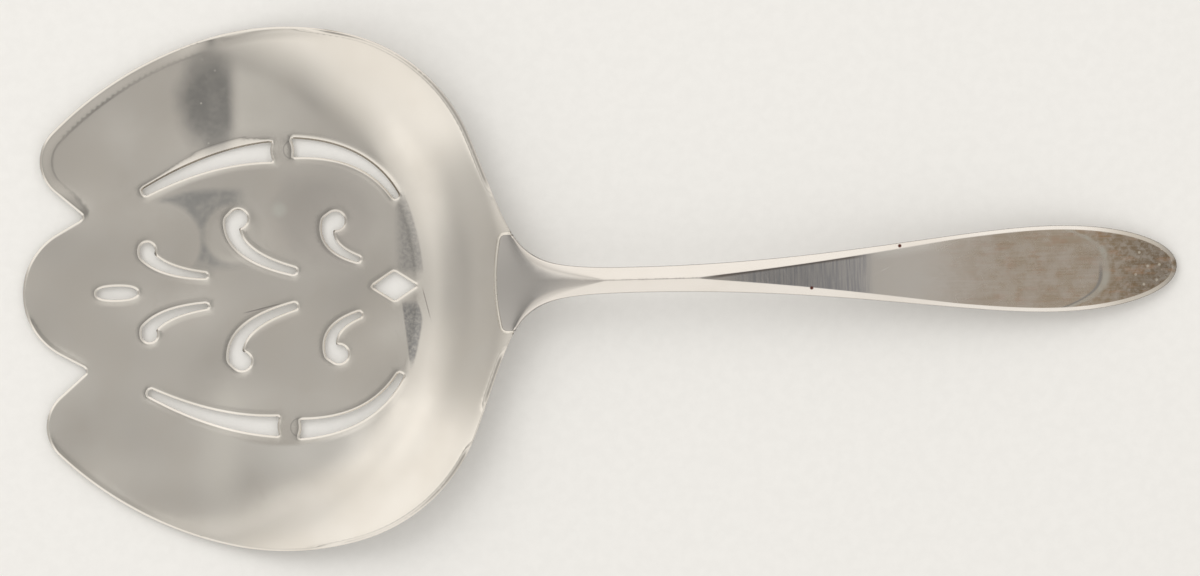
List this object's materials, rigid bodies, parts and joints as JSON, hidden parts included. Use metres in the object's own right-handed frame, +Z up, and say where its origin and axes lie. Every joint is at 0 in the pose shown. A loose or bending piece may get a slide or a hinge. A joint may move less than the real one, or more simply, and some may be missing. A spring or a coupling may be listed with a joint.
{
  "type": "bonbon spoon",
  "caption": "Shallow pierced serving spoon with a lobed front lip, a wall rising at the back and a slender arched handle, for lifting sweets from a dish.",
  "frame": {"origin": "on the plane the spoon rests on, under the middle of the pierced pattern in the bowl's flat floor", "axes": "+X from the front lip towards the tip of the handle, +Z up out of the bowl, the spoon is the same on both sides of Y = 0"},
  "size_m": [0.14, 0.0636, 0.007],
  "materials": {
    "bowl_silver": "polished silver with a soft haze, fine scratches and bright rounded edges",
    "handle_silver": "polished silver with lengthwise rubbing marks and light brown tarnish towards the tip",
    "silver_solder": "bright silver solder, dressed smooth"
  },
  "bodies": {
    "root": {"bowl": "bowl_silver", "handle": "handle_silver", "solder_seam": "silver_solder"}
  },
  "joints": []
}
